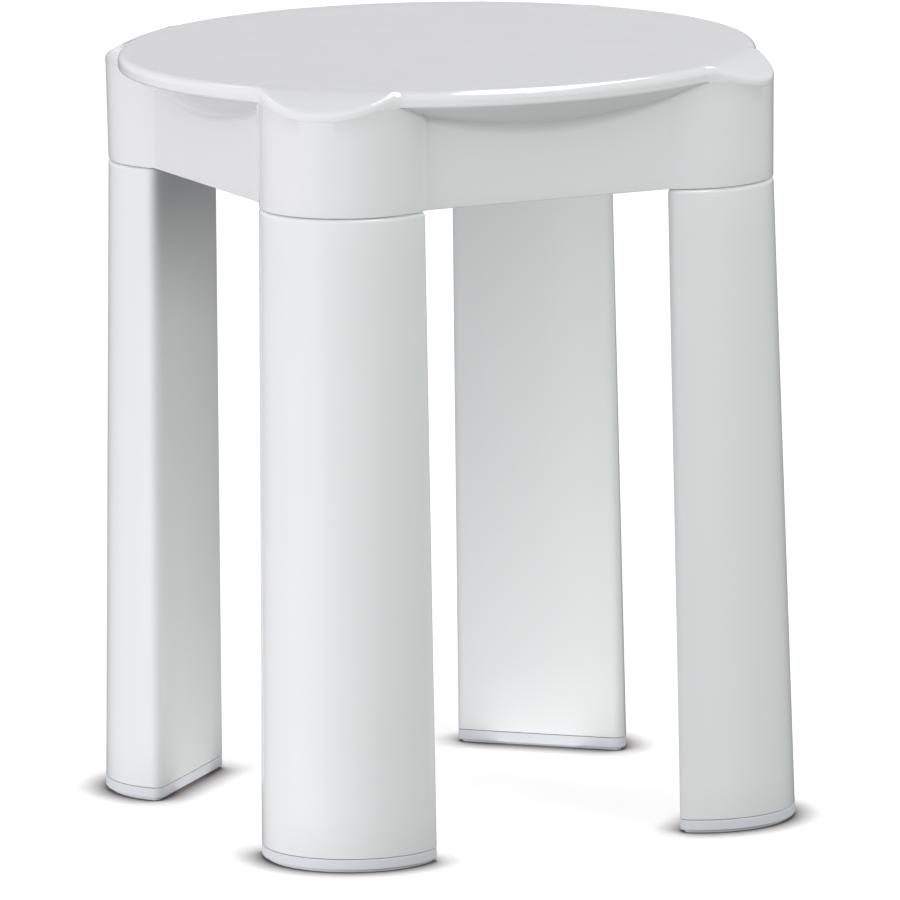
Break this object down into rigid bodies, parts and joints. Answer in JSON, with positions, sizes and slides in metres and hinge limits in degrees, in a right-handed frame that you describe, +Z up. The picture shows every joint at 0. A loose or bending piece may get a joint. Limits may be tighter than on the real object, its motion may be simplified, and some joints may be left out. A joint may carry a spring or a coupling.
{
  "type": "shower stool",
  "caption": "Round shower stool: a moulded seat with finger grips under its lip, on hollow half-round legs with soft non-slip feet.",
  "frame": {"origin": "on the floor, under the middle of the seat", "axes": "+Z up through the middle of the seat; the four skirt panels face +X, -X, +Y and -Y, and the legs stand on the diagonals between them"},
  "size_m": [0.34, 0.34, 0.41],
  "materials": {
    "seat_plastic": "white polypropylene, moulded against a polished tool, glossy",
    "leg_plastic": "white polypropylene, moulded, semi-gloss",
    "foot_rubber": "pale blue-grey thermoplastic rubber, matt",
    "screw_steel": "stainless, plain",
    "washer_steel": "stainless, plain"
  },
  "bodies": {
    "root": {"seat": "seat_plastic", "leg_front_left": "leg_plastic", "leg_front_right": "leg_plastic", "leg_rear_right": "leg_plastic", "leg_rear_left": "leg_plastic", "foot_front_left": "foot_rubber", "foot_front_right": "foot_rubber", "foot_rear_right": "foot_rubber", "foot_rear_left": "foot_rubber", "leg_screw_front_left_1": "screw_steel", "leg_screw_front_left_2": "screw_steel", "leg_screw_front_right_1": "screw_steel", "leg_screw_front_right_2": "screw_steel", "leg_screw_rear_right_1": "screw_steel", "leg_screw_rear_right_2": "screw_steel", "leg_screw_rear_left_1": "screw_steel", "leg_screw_rear_left_2": "screw_steel", "washer_front_left_1": "washer_steel", "washer_front_left_2": "washer_steel", "washer_front_right_1": "washer_steel", "washer_front_right_2": "washer_steel", "washer_rear_right_1": "washer_steel", "washer_rear_right_2": "washer_steel", "washer_rear_left_1": "washer_steel", "washer_rear_left_2": "washer_steel"}
  },
  "joints": []
}
